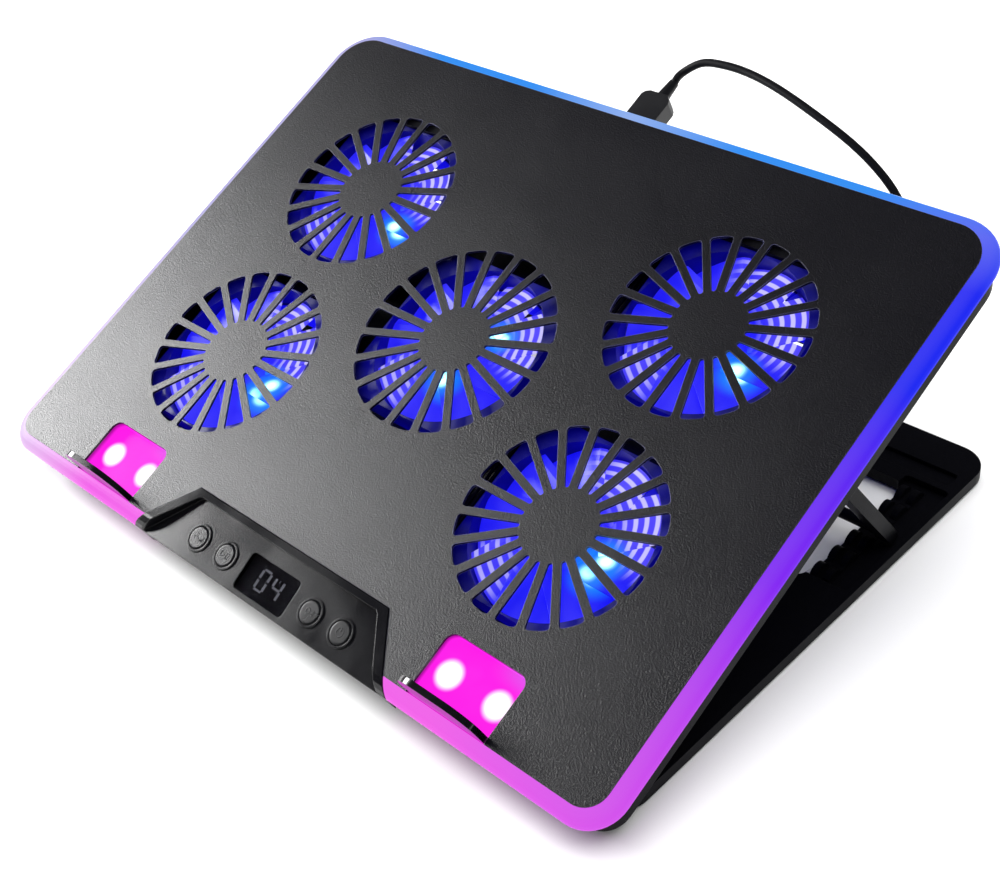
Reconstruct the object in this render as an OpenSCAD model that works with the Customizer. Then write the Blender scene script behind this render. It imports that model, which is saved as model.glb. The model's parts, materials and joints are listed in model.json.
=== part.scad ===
// Laptop cooling pad: a tilting fan deck on a folding base, with a rack-and-prop stand.
// Millimetres, +Z up. Origin: table level, under the middle of the whole object.
// Deck pieces are written as they lie when the pad is shut flat, then tilted about the front hinge.

/* [Deck] */
// Width of the metal top panel, mm
panel_width = 362; // [320:1:400]
// Depth of the metal top panel, mm
panel_depth = 263; // [230:1:290]
// How far the light ring stands out round the panel, mm
ring_out = 6.2; // [4:0.1:9]
// Deck tilt as it stands, degrees
tilt_rest = 24; // [0:0.5:28]

/* [Fans] */
// Sideways distance of the four outer fans from the middle, mm
fan_x = 99.8; // [90:0.1:110]
// Front row of fans, from the panel's front edge, mm
fan_front_y = 83.7; // [75:0.1:95]
// Back row of fans, mm
fan_back_y = 184.2; // [175:0.1:195]
// Middle fan, mm
fan_mid_y = 133.7; // [120:0.1:145]
// Outer radius of the four outer grilles, mm
grille_r = 44; // [38:0.5:48]
// Outer radius of the middle grille, mm
mid_grille_r = 47; // [40:0.5:50]
// Radius of the solid disc in each grille, mm
grille_hub_r = 16.3; // [12:0.1:20]
// Blades on each rotor
blade_count = 9; // [5:1:11]

/* [Stand] */
// Angle between the prop legs and the deck as it stands, degrees
prop_rest = 78; // [60:1:90]
// Distance between the centres of neighbouring rack notches, mm
notch_pitch = 12.2; // [10:0.1:14]
// Half the width of the base frame, mm
base_half = 178.6; // [160:0.1:180]
// Back edge of the base frame, mm behind the panel's front edge
base_back = 257.4; // [240:0.1:262]

/* [Hidden] */
$fn = 48;
// Heights with the pad shut, table at 0
foot_h = 1.5;
base_top = 7;
base_front = 10;
deck_bottom = 7.5;
floor_top = 9.5;
wall_top = 21;
panel_low = 26.3;
panel_top = 27.5;
// Deck hinge
hinge_y = 8;
hinge_z = 10;
hinge_x = 130;
pin_r = 1.5;
pin_gap = 0.06;
half_w = panel_width / 2;
front_r = 10;
back_r = 16;
wall_out = 1.5;
wall_in = 0.5;
// Prop, in shut-deck places
prop_y = 154.6;
prop_z = 12.5;
leg_len = 74.7;
leg_x = 171;
leg_w = 6;
toe = 4;
rod_r = 2.5;
trough_y0 = 149.4;
trough_y1 = 237;
trough_bar_y0 = 225.9;
trough_x0 = 166;
trough_x1 = 176;
trough_roof = 24.4;
// Rubber feet
feet_at = [[-158, 26], [158, 26], [-158, 138], [158, 138], [-158, 246], [158, 246]];
// Racks and the sunk tracks they stand in
rack_top = 7.8;
rack_low = 3.8;
track_in = 155;
track_out = 175.9;
rack_first = 156.2;
crest_r = 5.2;
rack_room_x = 157;
// Laptop stops and their lit pockets
stop_x = 109.7;
stop_half = 19.6;
stop_y = 1.65;
stop_z = 24.2;
stop_tall = 20.5;
stop_t = 2.6;
stop_r = 12;
pocket_half = 20.2;
pocket_deep = 28.2;
pocket_floor = 22.4;
board_low = 17.2;
// Foremost point is the top front edge of the raised stops; the origin lies midway back from it
stop_ahead = hinge_y - stop_y + stop_t / 2;
stop_above = stop_z + stop_tall - hinge_z;
y_front = hinge_y - stop_ahead * cos(tilt_rest) - stop_above * sin(tilt_rest);
y_shift = -(y_front + base_back) / 2;
// Control console
console_low = 14;
face_y = 4.5;
face_z = 23.5;
face_tilt = 8;
post_x = 36.6;
button_x = [-45.8, -27.5, 27.5, 45.8];
button_r = 5;
// Fans: housing 80 mm square, 14 mm deep
fan_half = 40;
fan_low = floor_top;
fan_high = 23.5;
bore_r = 39.2;
blade_r = 38.4;
rotor_hub_r = 15;
spoke_h = 1.6;
spoke_turn = -25;
lamp_r = 19.5;
fan_at = [[-fan_x, fan_front_y], [-fan_x, fan_back_y], [0, fan_mid_y], [fan_x, fan_back_y],
    [fan_x, fan_front_y]];
// Case screws and their pillars
screw_at = [[-172, 14], [172, 14], [-172, 132], [172, 132], [-172, 250], [172, 250], [-60, 246], [60, 246],
    [-28, 198], [28, 198], [-30, 60], [30, 60]];
// USB sockets
usb_x = -3.5;
usb2_x = 26;
usb_z = 14.3;
wall_back = panel_depth + wall_out;
// Loose power lead. It starts at the end of the plug's sleeve and runs over and down to a coil on the table
cord_r = 1.85;
cord_sides = 8;
cord_start_y = 297.4;
grip_end_y = 287.4;
cord_dir = [0, cos(tilt_rest), sin(tilt_rest)];
cord_exit = [usb_x, hinge_y, hinge_z] + (cord_start_y - hinge_y) * cord_dir
    + (usb_z - hinge_z) * [0, -sin(tilt_rest), cos(tilt_rest)];
cord_route = [[4, 281, 139], [14, 283, 140], [28, 284, 139], [45, 283, 136], [66, 281, 130], [86, 280, 122],
    [100, 280, 113], [110, 280, 103], [117, 281, 88], [119, 283, 68], [117, 287, 47], [111, 294, 27],
    [101, 304, 11], [88, 314, 4], [74, 323, 2], [58, 330, 1.9], [44, 334, 1.9], [31, 335.4, 1.9]];
coil_at = [30, 312, 0];
coil_mid = 21.5;
tail_route = [[30, 333.5, 5.1], [22, 333.9, 5.6], [14, 334.2, 5.2], [6, 334.2, 4.4], [-4, 334, 4]];

module on_base() {
    translate([0, y_shift, 0])
    children();
}

module on_deck() {
    translate([0, hinge_y + y_shift, hinge_z])
    rotate([tilt_rest, 0, 0])
    translate([0, -hinge_y, -hinge_z])
    children();
}

module on_face() {
    translate([0, face_y, face_z])
    rotate([face_tilt, 0, 0])
    children();
}

// Box from one corner to the opposite one
module span(a, b) {
    translate(a)
    cube([b[0] - a[0], b[1] - a[1], b[2] - a[2]]);
}

// Bar along X from x0 to x1 with its cross-section drawn in Y and Z
module along_x(x0, x1) {
    translate([x0, 0, 0])
    rotate([90, 0, 90])
    linear_extrude(x1 - x0)
    children();
}

// Rectangle with its four corners rounded by one radius
module round_box(x0, y0, x1, y1, r) {
    union() {
        translate([x0 + r, y0])
        square([x1 - x0 - 2 * r, y1 - y0]);
        translate([x0, y0 + r])
        square([x1 - x0, y1 - y0 - 2 * r]);
        for (x = [x0 + r, x1 - r])
            for (y = [y0 + r, y1 - r])
                translate([x, y])
                circle(r);
    }
}

// Deck outline: the panel's shape grown by g, small corners in front and larger ones behind
module deck_outline(g) {
    union() {
        translate([-half_w + front_r, -g])
        square([panel_width - 2 * front_r, panel_depth / 2 + g]);
        translate([-half_w - g, front_r])
        square([panel_width + 2 * g, panel_depth - front_r - back_r]);
        translate([-half_w + back_r, panel_depth / 2])
        square([panel_width - 2 * back_r, panel_depth / 2 + g]);
        for (s = [-1, 1]) {
            translate([s * (half_w - front_r), front_r])
            circle(front_r + g);
            translate([s * (half_w - back_r), panel_depth - back_r])
            circle(back_r + g);
        }
    }
}

// Console outline seen from above, grown by g
module console_outline(g) {
    polygon([[-81.3 - g * 1.25, -6.2], [-60 - g * 1.25 - 1.3, 20.6 + g * 0.3], [-60 - g * 0.8, 22.4 + g],
        [60 + g * 0.8, 22.4 + g], [60 + g * 1.25 + 1.3, 20.6 + g * 0.3], [81.3 + g * 1.25, -6.2]]);
}

// ---------- base ----------

module base_frame() {
    color("dimgray")
    on_base()
    difference() {
        union() {
            translate([0, 0, foot_h])
            linear_extrude(base_top - foot_h)
            round_box(-base_half, base_front, base_half, base_back, 14);
            for (s = [-1, 1])
                along_x(s * hinge_x - 8, s * hinge_x + 8)
                union() {
                    translate([hinge_y, hinge_z])
                    circle(3.2);
                    polygon([[7, foot_h + 0.5], [16, foot_h], [16, base_top], [11.2, base_top],
                        [11.2, hinge_z], [6, hinge_z - 2]]);
                }
        }
        // Windows through the frame, front and back
        translate([0, 0, -1])
        linear_extrude(base_top + 2)
        round_box(-146, 42, 146, 130, 7);
        translate([0, 0, -1])
        linear_extrude(base_top + 2)
        round_box(-157, 146, 157, 221.5, 5);
        // Groove along the back rail
        translate([0, 0, base_top - 2])
        linear_extrude(3)
        round_box(-173, 229.8, 173, 238.8, 2);
        // Sunk tracks for the racks and the prop's feet, open to the back window
        translate([0, 0, rack_low])
        linear_extrude(base_top)
        for (s = [-1, 1])
            round_box(min(s * track_in, s * track_out), 150, max(s * track_in, s * track_out), 226.5, 2);
        // Bores for the hinge pins
        for (s = [-1, 1])
            along_x(s * hinge_x - 9, s * hinge_x + 9)
            translate([hinge_y, hinge_z])
            circle(pin_r);
        // Seats for the rubber feet
        for (p = feet_at)
            translate([p[0], p[1], foot_h - 1])
            cylinder(r = 7, h = 2);
    }
}

// One rack: two ribs with rounded crests, standing in the sunk track
module rack(s) {
    for (x0 = [157.6, 163.6])
        along_x(s > 0 ? x0 : -x0 - 3, s > 0 ? x0 + 3 : -x0)
        union() {
            translate([152, rack_low])
            square([70.6, 0.8]);
            intersection() {
                translate([152, rack_low])
                square([70.6, 6]);
                for (k = [0:5])
                    translate([rack_first + k * notch_pitch, rack_top - crest_r])
                    circle(crest_r);
            }
        }
    span([s > 0 ? 160.6 : -163.6, 152, rack_low], [s > 0 ? 163.6 : -160.6, 222.6, rack_low + 0.8]);
}

module rack_left() {
    color("gray")
    on_base()
    rack(-1);
}

module rack_right() {
    color("gray")
    on_base()
    rack(1);
}

module rubber_feet() {
    color("black")
    on_base()
    for (p = feet_at)
        translate([p[0], p[1], 0])
        cylinder(r = 7, h = foot_h + 1);
}

module hinge_pins() {
    color("silver")
    on_base()
    for (s = [-1, 1])
        along_x(s * hinge_x - 14.5, s * hinge_x + 14.5)
        translate([hinge_y, hinge_z])
        circle(pin_r);
}

// ---------- deck body ----------

// U-shaped space that the folded prop lies in, seen from above, grown by g
module trough_plan(g) {
    for (s = [-1, 1])
        translate([s > 0 ? trough_x0 - g : -trough_x1 - g, trough_y0 - g])
        square([trough_x1 - trough_x0 + 2 * g, trough_y1 - trough_y0 + 2 * g]);
    translate([-trough_x1 - g, trough_bar_y0 - g])
    square([2 * trough_x1 + 2 * g, trough_y1 - trough_bar_y0 + 2 * g]);
}

module lower_shell() {
    color("darkslategray")
    on_deck()
    difference() {
        union() {
            // Floor and side wall
            translate([0, 0, deck_bottom])
            linear_extrude(floor_top - deck_bottom)
            deck_outline(wall_out);
            translate([0, 0, floor_top])
            linear_extrude(wall_top - floor_top)
            difference() {
                deck_outline(wall_out);
                deck_outline(-wall_in);
            }
            // Walls and roof of the prop's trough
            translate([0, 0, floor_top])
            linear_extrude(trough_roof + 1.2 - floor_top)
            trough_plan(1.5);
            // Screw pillars
            for (p = screw_at)
                translate([p[0], p[1], floor_top])
                cylinder(r = 3.5, h = panel_low - floor_top);
            // Ears for the deck hinge
            for (s = [-1, 1])
                for (e = [-12, 12])
                    span([s * hinge_x + e - 3, 3, deck_bottom], [s * hinge_x + e + 3, 13, 14]);
            // Posts under the lit pockets' circuit boards
            for (s = [-1, 1])
                for (e = [-17, 17])
                    translate([s * stop_x + e, 23, floor_top])
                    cylinder(r = 1.8, h = board_low - floor_top);
            // Cradle under the two sockets
            span([usb_x - 9, 249, floor_top], [usb2_x + 9, wall_back - 2, usb_z - 2.9]);
        }
        // Trough, open underneath
        translate([0, 0, deck_bottom - 1])
        linear_extrude(trough_roof + 1 - deck_bottom)
        trough_plan(0);
        // Room over the tops of the racks
        for (s = [-1, 1])
            span([s > 0 ? rack_room_x : -trough_x0 - 1, trough_y0 - 2, deck_bottom - 1],
                [s > 0 ? trough_x0 + 1 : -rack_room_x, trough_bar_y0, rack_top + 0.6]);
        // Bores for the prop's pins
        for (s = [-1, 1])
            along_x(s * leg_x - 7, s * leg_x + 7)
            translate([prop_y, prop_z])
            circle(2);
        // Pockets for the base's hinge lugs, and the pin bores
        for (s = [-1, 1]) {
            span([s * hinge_x - 8.5, 3, deck_bottom - 1], [s * hinge_x + 8.5, 14.6, floor_top + 1]);
            along_x(s * hinge_x - 15.5, s * hinge_x + 15.5)
            translate([hinge_y, hinge_z])
            circle(pin_r + pin_gap);
        }
        // Air slots under each fan
        for (c = fan_at)
            translate([c[0], c[1], deck_bottom - 1])
            linear_extrude(4)
            intersection() {
                circle(35);
                for (k = [-4:4])
                    translate([-36, k * 7.6 - 2])
                    square([72, 4]);
            }
        // Screw holes with sunk heads
        for (p = screw_at)
            translate([p[0], p[1], 0]) {
                cylinder(r = 1.4, h = 23);
                cylinder(r = 3, h = floor_top - 0.3);
            }
        // Notch for the console and slots for the sockets
        translate([0, 0, console_low - 0.3])
        linear_extrude(20)
        console_outline(0.3);
        for (x = [usb_x, usb2_x])
            span([x - 6.6, wall_back - 3, usb_z - 2.9], [x + 6.6, wall_back + 1, usb_z + 2.9]);
    }
}

// One grille slot pointing along +X: narrow round inner end, wide outer end with rounded corners
function slot_half(x, rib) = x * tan(9) - rib / 2 / cos(9);
function slot_points(r0, r1, rib, c) = concat(
    [for (a = [210:-30:90])
        [r0 + slot_half(r0, rib) * (1 + cos(a)) , -slot_half(r0 + 1, rib) * sin(a)]],
    [[r1 - c - 0.6, -slot_half(r1 - c - 0.6, rib)]],
    [for (a = [-67.5:22.5:0]) [r1 - c - 0.2 + c * cos(a), -slot_half(r1 - c, rib) + c * (1 + sin(a))]],
    [for (a = [-3.6:1.8:3.6]) [r1 * cos(a), r1 * sin(a)]],
    [for (a = [0:22.5:67.5]) [r1 - c - 0.2 + c * cos(a), slot_half(r1 - c, rib) - c * (1 - sin(a))]],
    [[r1 - c - 0.6, slot_half(r1 - c - 0.6, rib)]],
    [for (a = [90:30:150])
        [r0 + slot_half(r0, rib) * (1 + cos(a)), slot_half(r0 + 1, rib) * sin(a)]]);

module grille_slots(r1) {
    for (k = [0:19])
        rotate(k * 18 + 9)
        polygon(slot_points(grille_hub_r, r1, 3.5, 1.6));
}

module top_panel() {
    color("slategray")
    on_deck()
    translate([0, 0, panel_low])
    linear_extrude(panel_top - panel_low)
    difference() {
        deck_outline(0);
        for (i = [0:4])
            translate(fan_at[i])
            grille_slots(i == 2 ? mid_grille_r : grille_r);
        for (s = [-1, 1]) {
            round_box(s * stop_x - pocket_half, -10, s * stop_x + pocket_half, pocket_deep, 4.5);
        }
        console_outline(0.35);
    }
}

// Cross-section of the light ring: x outward from the panel's edge, y up
module ring_profile() {
    polygon([[0, 0], [5.3, 0], [6.2, 0.9], [6.2, 2.1], [5.7, 3.3], [4.6, 4.6], [3, 5.6], [1.4, 6.1],
        [0, 6.2]]);
}

module light_ring() {
    color("violet")
    on_deck()
    difference() {
        translate([0, 0, wall_top])
        union() {
            for (s = [-1, 1]) {
                // Sides
                translate([s * half_w, s > 0 ? panel_depth - back_r : front_r, 0])
                rotate([90, 0, s > 0 ? 0 : 180])
                linear_extrude(panel_depth - front_r - back_r)
                ring_profile();
                // Front corners
                translate([s * (half_w - front_r), front_r, 0])
                rotate(s > 0 ? -90 : 180)
                rotate_extrude(angle = 90)
                translate([front_r, 0])
                ring_profile();
                // Back corners
                translate([s * (half_w - back_r), panel_depth - back_r, 0])
                rotate(s > 0 ? 0 : 90)
                rotate_extrude(angle = 90)
                translate([back_r, 0])
                ring_profile();
            }
            // Back and front runs
            translate([-half_w + back_r, panel_depth, 0])
            rotate([90, 0, 90])
            linear_extrude(panel_width - 2 * back_r)
            ring_profile();
            translate([half_w - front_r, 0, 0])
            rotate([90, 0, -90])
            linear_extrude(panel_width - 2 * front_r)
            ring_profile();
        }
        // Gap in front for the console
        translate([0, 0, wall_top - 1])
        linear_extrude(9)
        union() {
            console_outline(0.3);
            translate([0, -2])
            console_outline(0.3);
        }
    }
}

module ring_led_strips() {
    low = wall_top + 0.4;
    color("ivory")
    on_deck()
    union() {
        for (s = [-1, 1]) {
            span([s > 0 ? half_w - 1.3 : -half_w, 14, low], [s > 0 ? half_w : -half_w + 1.3, 245, low + 4.4]);
            for (k = [0:14])
                translate([s * (half_w - 1.8), 20 + k * 16, low + 2.2])
                cube([1.4, 5, 3], center = true);
        }
        span([-164, panel_depth - 1.3, low], [164, panel_depth, low + 4.4]);
        for (k = [0:20])
            translate([-160 + k * 16, panel_depth - 1.8, low + 2.2])
            cube([5, 1.4, 3], center = true);
    }
}

module case_screws() {
    color("silver")
    on_deck()
    for (p = screw_at)
        translate([p[0], p[1], 0]) {
            translate([0, 0, deck_bottom + 0.1])
            difference() {
                cylinder(r = 2.8, h = floor_top - 0.3 - deck_bottom - 0.1);
                translate([0, 0, -0.1])
                cylinder(r = 1.2, h = 0.9, $fn = 6);
            }
            translate([0, 0, floor_top - 0.3])
            cylinder(r = 1.4, h = 12);
        }
}

// ---------- laptop stops and lit pockets ----------

module led_window(s) {
    c = s * stop_x;
    rim = pocket_half + 1.7;
    difference() {
        translate([0, 0, wall_top])
        linear_extrude(panel_low - wall_top)
        round_box(c - rim, 0, c + rim, pocket_deep + 1.7, 1);
        translate([0, 0, pocket_floor])
        linear_extrude(10)
        round_box(c - pocket_half, -10, c + pocket_half, pocket_deep, 4.5);
        along_x(c - rim - 1, c + rim + 1)
        translate([stop_y, stop_z])
        circle(1);
    }
}

module led_window_left() {
    color("magenta")
    on_deck()
    led_window(-1);
}

module led_window_right() {
    color("magenta")
    on_deck()
    led_window(1);
}

module window_led_boards() {
    color("green")
    on_deck()
    for (s = [-1, 1]) {
        span([s * stop_x - 19, 4, board_low], [s * stop_x + 19, 27, board_low + 1.2]);
        for (e = [-1, 1])
            translate([s * stop_x + e * 12.4, 14.5, board_low + 1.2]) {
                cylinder(r = 3, h = 1);
                translate([0, 0, 1])
                cylinder(r = 2.4, h = 0.9);
            }
    }
}

module stop_pins() {
    color("silver")
    on_deck()
    for (s = [-1, 1])
        along_x(s * stop_x - pocket_half - 1.6, s * stop_x + pocket_half + 1.6)
        translate([stop_y, stop_z])
        circle(1);
}

module stop_tab(s) {
    c = s * stop_x;
    difference() {
        union() {
            along_x(c - stop_half, c + stop_half)
            translate([stop_y, stop_z])
            circle(stop_t / 2);
            translate([0, stop_y + stop_t / 2, 0])
            rotate([90, 0, 0])
            linear_extrude(stop_t)
            intersection() {
                translate([c - stop_half, stop_z])
                square([2 * stop_half, stop_tall]);
                // Wide rounding at both upper corners
                round_box(c - stop_half, stop_z - stop_r, c + stop_half, stop_z + stop_tall, stop_r);
            }
        }
        along_x(c - stop_half - 1, c + stop_half + 1)
        translate([stop_y, stop_z])
        circle(1.05);
    }
}

module stop_left() {
    color("black")
    on_deck()
    stop_tab(-1);
}

module stop_right() {
    color("black")
    on_deck()
    stop_tab(1);
}

// ---------- control console ----------

// Sunk face outline, in the face's own plane
module face_outline(g) {
    polygon([[-79 - g, -14], [-57.2 - g, 14.2 + g * 0.4], [-55.6 - g, 15.2 + g], [55.6 + g, 15.2 + g],
        [57.2 + g, 14.2 + g * 0.4], [79 + g, -14]]);
}

// Bezel with its sunk face, before the posts behind it
module bezel_body() {
    difference() {
        union() {
            difference() {
                translate([0, 0, console_low])
                linear_extrude(panel_top + 0.4 - console_low)
                console_outline(0);
                // Sunk face, open to the front
                on_face()
                linear_extrude(12)
                face_outline(0);
                // Front of the rim follows the light ring's curve
                along_x(-90, 90)
                polygon([[1, 30], [1, 28], [-1, 27.7], [-3.4, 26.7], [-5, 25.4], [-6.1, 23.6],
                    [-9, 23.2], [-9, 30]]);
            }
            // Raised ring round each button
            on_face()
            for (x = button_x)
                translate([x, 0.2, -1])
                cylinder(r = 6.4, h = 1.6);
        }
        // Hollow under the face
        on_face()
        translate([0, 0, -22])
        linear_extrude(20)
        face_outline(-1.4);
        span([-78, -4.6, 10], [78, 1, 19.6]);
        // Button holes and the display opening
        on_face()
        for (x = button_x)
            translate([x, 0.2, -4])
            cylinder(r = button_r + 0.3, h = 8);
        on_face()
        translate([0, 0, -4])
        linear_extrude(8)
        round_box(-15.5, -8.6, 15.5, 8.2, 2);
    }
}

module console_bezel() {
    color("dimgray")
    on_deck() {
        bezel_body();
        // Posts that the control board is screwed to
        on_face()
        for (x = [-post_x, post_x])
            translate([x, 6, -7])
            difference() {
                cylinder(r = 2.4, h = 5.4);
                translate([0, 0, -1])
                cylinder(r = 0.9, h = 5);
            }
    }
}

module console_screws() {
    color("silver")
    on_deck()
    on_face()
    for (x = [-post_x, post_x])
        translate([x, 6, -9.4]) {
            cylinder(r = 2, h = 1.2);
            translate([0, 0, 1.2])
            cylinder(r = 0.9, h = 4.6);
        }
}

module display_window() {
    color("black")
    on_deck()
    on_face()
    translate([0, 0, -1.4])
    linear_extrude(1.2)
    round_box(-15.4, -8.5, 15.4, 8.1, 1.9);
}

// One seven-segment figure; lit lists the bars that show, from top to bottom
module figure(lit) {
    bars = [[-2, 4, 4, 0.9], [-2.9, 0.5, 0.9, 3.4], [2, 0.5, 0.9, 3.4], [-2, -0.45, 4, 0.9],
        [-2.9, -3.9, 0.9, 3.4], [2, -3.9, 0.9, 3.4], [-2, -4.9, 4, 0.9]];
    for (i = lit)
        translate([bars[i][0], bars[i][1], 0])
        cube([bars[i][2], bars[i][3], 0.5]);
}

module display_digits() {
    color("white")
    on_deck()
    on_face()
    for (f = [[-4.2, [0, 1, 2, 4, 5, 6]], [4.2, [1, 2, 3, 5]]])
        translate([f[0], 0, -2.05])
        figure(f[1]);
}

module display_module() {
    color("black")
    on_deck()
    on_face()
    span([-17, -8.8, -7], [17, 9.2, -2.05]);
}

module control_board() {
    color("green")
    on_deck()
    on_face()
    difference() {
        span([-56, -8.8, -8.2], [56, 11, -7]);
        for (x = [-post_x, post_x])
            translate([x, 6, -9])
            cylinder(r = 0.9, h = 3);
    }
}

module tact_switches() {
    color("silver")
    on_deck()
    on_face()
    for (x = button_x) {
        span([x - 3, -2.8, -7], [x + 3, 3.2, -5.9]);
        translate([x, 0.2, -5.9])
        cylinder(r = 1.5, h = 0.5);
    }
}

module button(i) {
    color("darkgray")
    on_deck()
    on_face()
    translate([button_x[i], 0.2, 0]) {
        translate([0, 0, -3])
        cylinder(r = button_r, h = 3.6);
        translate([0, 0, 0.6])
        cylinder(r1 = button_r, r2 = button_r - 0.6, h = 0.3);
        translate([0, 0, -3])
        cylinder(r = button_r + 1, h = 0.8);
        translate([0, 0, -4.5])
        cylinder(r = 1.5, h = 1.5);
    }
}

// ---------- fans ----------

module fan_frame(i) {
    color("midnightblue")
    on_deck()
    translate([fan_at[i][0], fan_at[i][1], fan_low])
    difference() {
        union() {
            linear_extrude(fan_high - fan_low)
            difference() {
                round_box(-fan_half, -fan_half, fan_half, fan_half, 4);
                circle(bore_r);
            }
            // Motor seat on four spokes
            cylinder(r = 14.5, h = 1.7);
            for (a = [0:90:270])
                rotate(a + spoke_turn)
                span([13, -1.6, 0], [bore_r + 0.5, 1.6, spoke_h]);
        }
        // Bearing and corner holes
        translate([0, 0, -1])
        cylinder(r = 1.56, h = 5);
        for (x = [-1, 1])
            for (y = [-1, 1])
                translate([x * 35.8, y * 35.8, -1])
                cylinder(r = 1.5, h = 20);
    }
}

module rotor(i) {
    color("blue")
    on_deck()
    translate([fan_at[i][0], fan_at[i][1], fan_low]) {
        difference() {
            union() {
                translate([0, 0, 2])
                cylinder(r = rotor_hub_r, h = 9.4);
                translate([0, 0, 11.4])
                cylinder(r1 = rotor_hub_r, r2 = rotor_hub_r - 1.2, h = 1.2);
            }
            translate([0, 0, 1])
            cylinder(r = rotor_hub_r - 2, h = 9);
        }
        translate([0, 0, 0.3])
        cylinder(r = 1.5, h = 10);
        // Pitched blades
        intersection() {
            translate([0, 0, 3.4])
            difference() {
                cylinder(r = blade_r, h = 8.2);
                translate([0, 0, -1])
                cylinder(r = rotor_hub_r - 0.6, h = 11);
            }
            for (k = [0:blade_count - 1])
                rotate(k * 360 / blade_count)
                translate([0, 0, 7.5])
                rotate([-18, 0, 0])
                span([13, -13.5, -0.8], [40, 13.5, 0.8]);
        }
    }
}

module fan_leds() {
    color("cyan")
    on_deck()
    for (c = fan_at)
        for (a = [spoke_turn, spoke_turn + 90])
            translate([c[0] + lamp_r * cos(a), c[1] + lamp_r * sin(a), fan_low + spoke_h])
            cylinder(r = 1.5, h = 1.3);
}

module fan_screws() {
    color("silver")
    on_deck()
    for (c = fan_at)
        for (x = [-1, 1])
            for (y = [-1, 1])
                translate([c[0] + x * 35.8, c[1] + y * 35.8, fan_high - 9]) {
                    cylinder(r = 1.5, h = 9);
                    translate([0, 0, 9])
                    cylinder(r = 2.7, h = 1.3);
                }
}

// Thin wires lying on the floor between the console and the sockets
module wire_loom() {
    color("red")
    on_deck()
    for (w = [[-46, 24], [-48.4, 24], [46, 24], [48.4, 24]])
        translate([w[0], w[1], floor_top + 0.9])
        rotate([-90, 0, 0])
        cylinder(r = 0.9, h = 198, $fn = 16);
}

// ---------- power sockets ----------

module usb_sockets() {
    color("silver")
    on_deck()
    for (x = [usb_x, usb2_x])
        difference() {
            span([x - 6.5, 251, usb_z - 2.8], [x + 6.5, wall_back - 0.1, usb_z + 2.8]);
            span([x - 6.1, 252, usb_z - 2.4], [x + 6.1, wall_back + 1, usb_z + 2.4]);
        }
}

module usb_board() {
    color("green")
    on_deck()
    span([usb_x - 8.4, 240.5, usb_z - 2.9], [usb2_x + 8.4, 250.9, usb_z - 1.6]);
}

// ---------- prop ----------

module prop_frame() {
    color("black")
    on_deck()
    translate([0, prop_y, prop_z])
    rotate([-prop_rest, 0, 0]) {
        for (s = [-1, 1])
            along_x(s * leg_x - leg_w / 2, s * leg_x + leg_w / 2)
            difference() {
                union() {
                    circle(4.4);
                    translate([0, -leg_w / 2])
                    square([leg_len + toe, leg_w]);
                    translate([leg_len + toe, 0])
                    circle(leg_w / 2);
                }
                circle(2.06);
            }
        along_x(-leg_x, leg_x)
        translate([leg_len, 0])
        circle(rod_r);
    }
}

module prop_pins() {
    color("silver")
    on_deck()
    for (s = [-1, 1])
        along_x(s * leg_x - 6.4, s * leg_x + 6.4)
        translate([prop_y, prop_z])
        circle(2);
}

// ---------- power lead ----------

module usb_plug_body() {
    color("black")
    on_deck()
    translate([0, 0, usb_z - 4])
    linear_extrude(8)
    polygon([[usb_x - 7.6, 265.2], [usb_x + 7.6, 265.2], [usb_x + 8.3, 266.2], [usb_x + 8.3, 283],
        [usb_x + 7.4, 285], [usb_x + 5, grip_end_y], [usb_x - 5, grip_end_y], [usb_x - 7.2, 286.4],
        [usb_x - 8.3, 284.6], [usb_x - 8.3, 266.2]]);
}

module usb_plug_shell() {
    color("silver")
    on_deck()
    difference() {
        span([usb_x - 5.9, 253, usb_z - 2.2], [usb_x + 5.9, 265.2, usb_z + 2.2]);
        span([usb_x - 5.5, 252, usb_z + 0.2], [usb_x + 5.5, 264, usb_z + 1.8]);
    }
}

// Tapered sleeve behind the plug; the lead starts at its end
module strain_relief() {
    color("black")
    on_deck()
    translate([usb_x, grip_end_y, usb_z])
    rotate([-90, 0, 0])
    cylinder(r1 = 3.1, r2 = 2.3, h = cord_start_y - grip_end_y);
}

function unit(v) = v / norm(v);
// Smooth curve through the route's points
function bend(a, b, c, d, t) = 0.5 * ((2 * b) + (c - a) * t + (2 * a - 5 * b + 4 * c - d) * t * t
    + (3 * b - a - 3 * c + d) * t * t * t);
function smooth(p) = [for (i = [0:len(p) - 2]) for (t = [0, 0.5])
    bend(p[max(i - 1, 0)], p[i], p[i + 1], p[min(i + 2, len(p) - 1)], t), p[len(p) - 1]];

module tube(path, r) {
    n = len(path);
    rings = [for (i = [0:n - 1])
        let (d = unit(path[min(i + 1, n - 1)] - path[max(i - 1, 0)]),
            side = unit(cross(d, abs(d[2]) > 0.85 ? [0, 1, 0] : [0, 0, 1])),
            up = cross(side, d))
        for (k = [0:cord_sides - 1])
            path[i] + r * (cos(k * 360 / cord_sides) * side + sin(k * 360 / cord_sides) * up)];
    faces = concat([[for (k = [0:cord_sides - 1]) k]],
        [for (i = [0:n - 2]) for (k = [0:cord_sides - 1]) let (m = (k + 1) % cord_sides)
            [i * cord_sides + k, (i + 1) * cord_sides + k, (i + 1) * cord_sides + m, i * cord_sides + m]],
        [[for (k = [cord_sides - 1:-1:0]) (n - 1) * cord_sides + k]]);
    polyhedron(rings, faces, convexity = 6);
}

module power_cord() {
    color("black")
    tube(smooth([for (p = concat([for (d = [0.1, 3, 6]) cord_exit + d * cord_dir], cord_route))
        p + [0, y_shift, 0]]), cord_r);
}

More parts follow.
